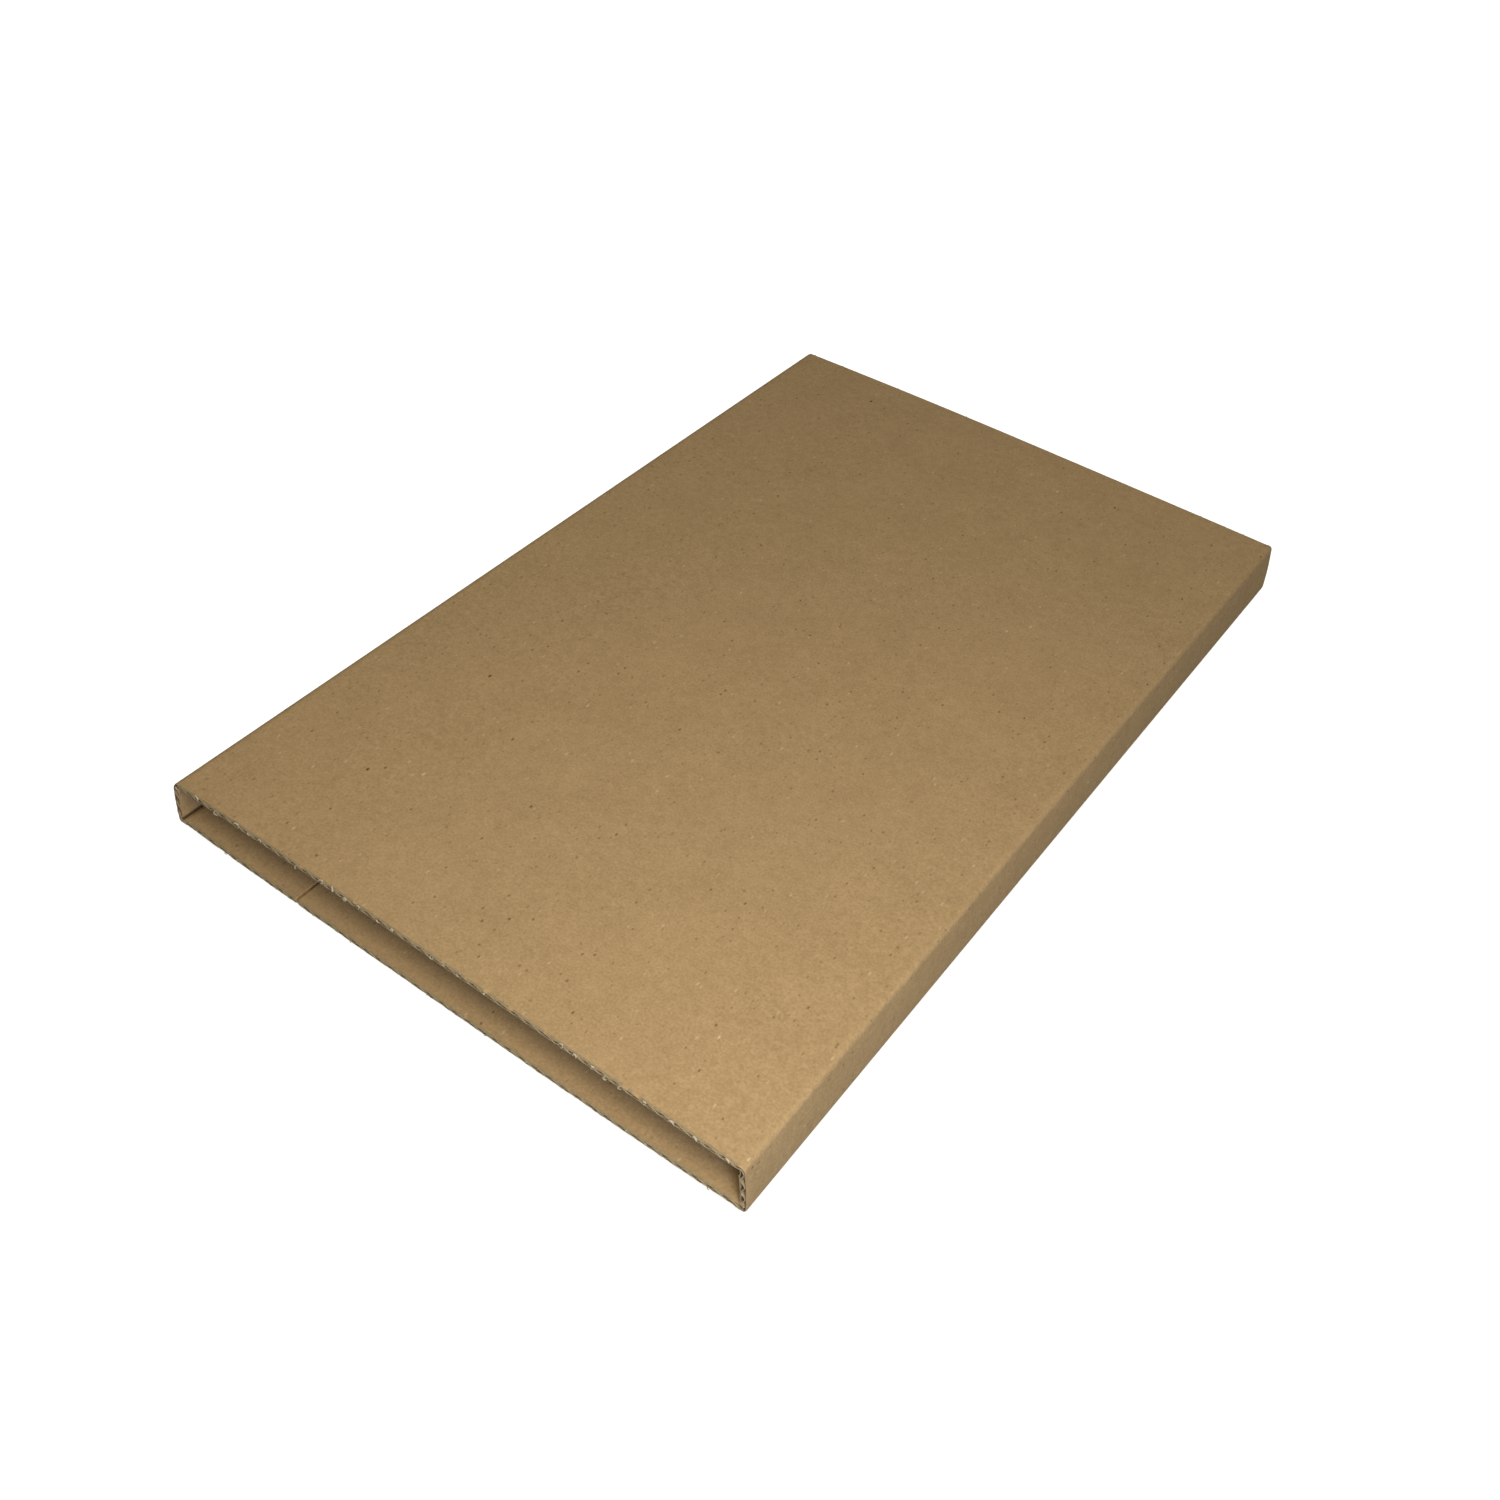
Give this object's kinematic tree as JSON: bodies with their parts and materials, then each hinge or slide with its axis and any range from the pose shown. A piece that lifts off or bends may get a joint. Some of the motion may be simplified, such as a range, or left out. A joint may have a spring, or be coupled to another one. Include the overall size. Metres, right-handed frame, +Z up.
{
  "type": "corrugated shipping sleeve",
  "caption": "Flat rectangular tube of single-wall corrugated board, open at both short ends, for posting flat goods.",
  "frame": {"origin": "middle of the base, on the surface that the sleeve lies on", "axes": "+Y along the sleeve, the flutes and the open way through it; +X across the top panel; +Z up"},
  "size_m": [0.2754, 0.43, 0.0272],
  "materials": {
    "kraft_board": "uncoated brown kraft liner, matte"
  },
  "bodies": {
    "root": {"corrugated_sleeve": "kraft_board"}
  },
  "joints": []
}
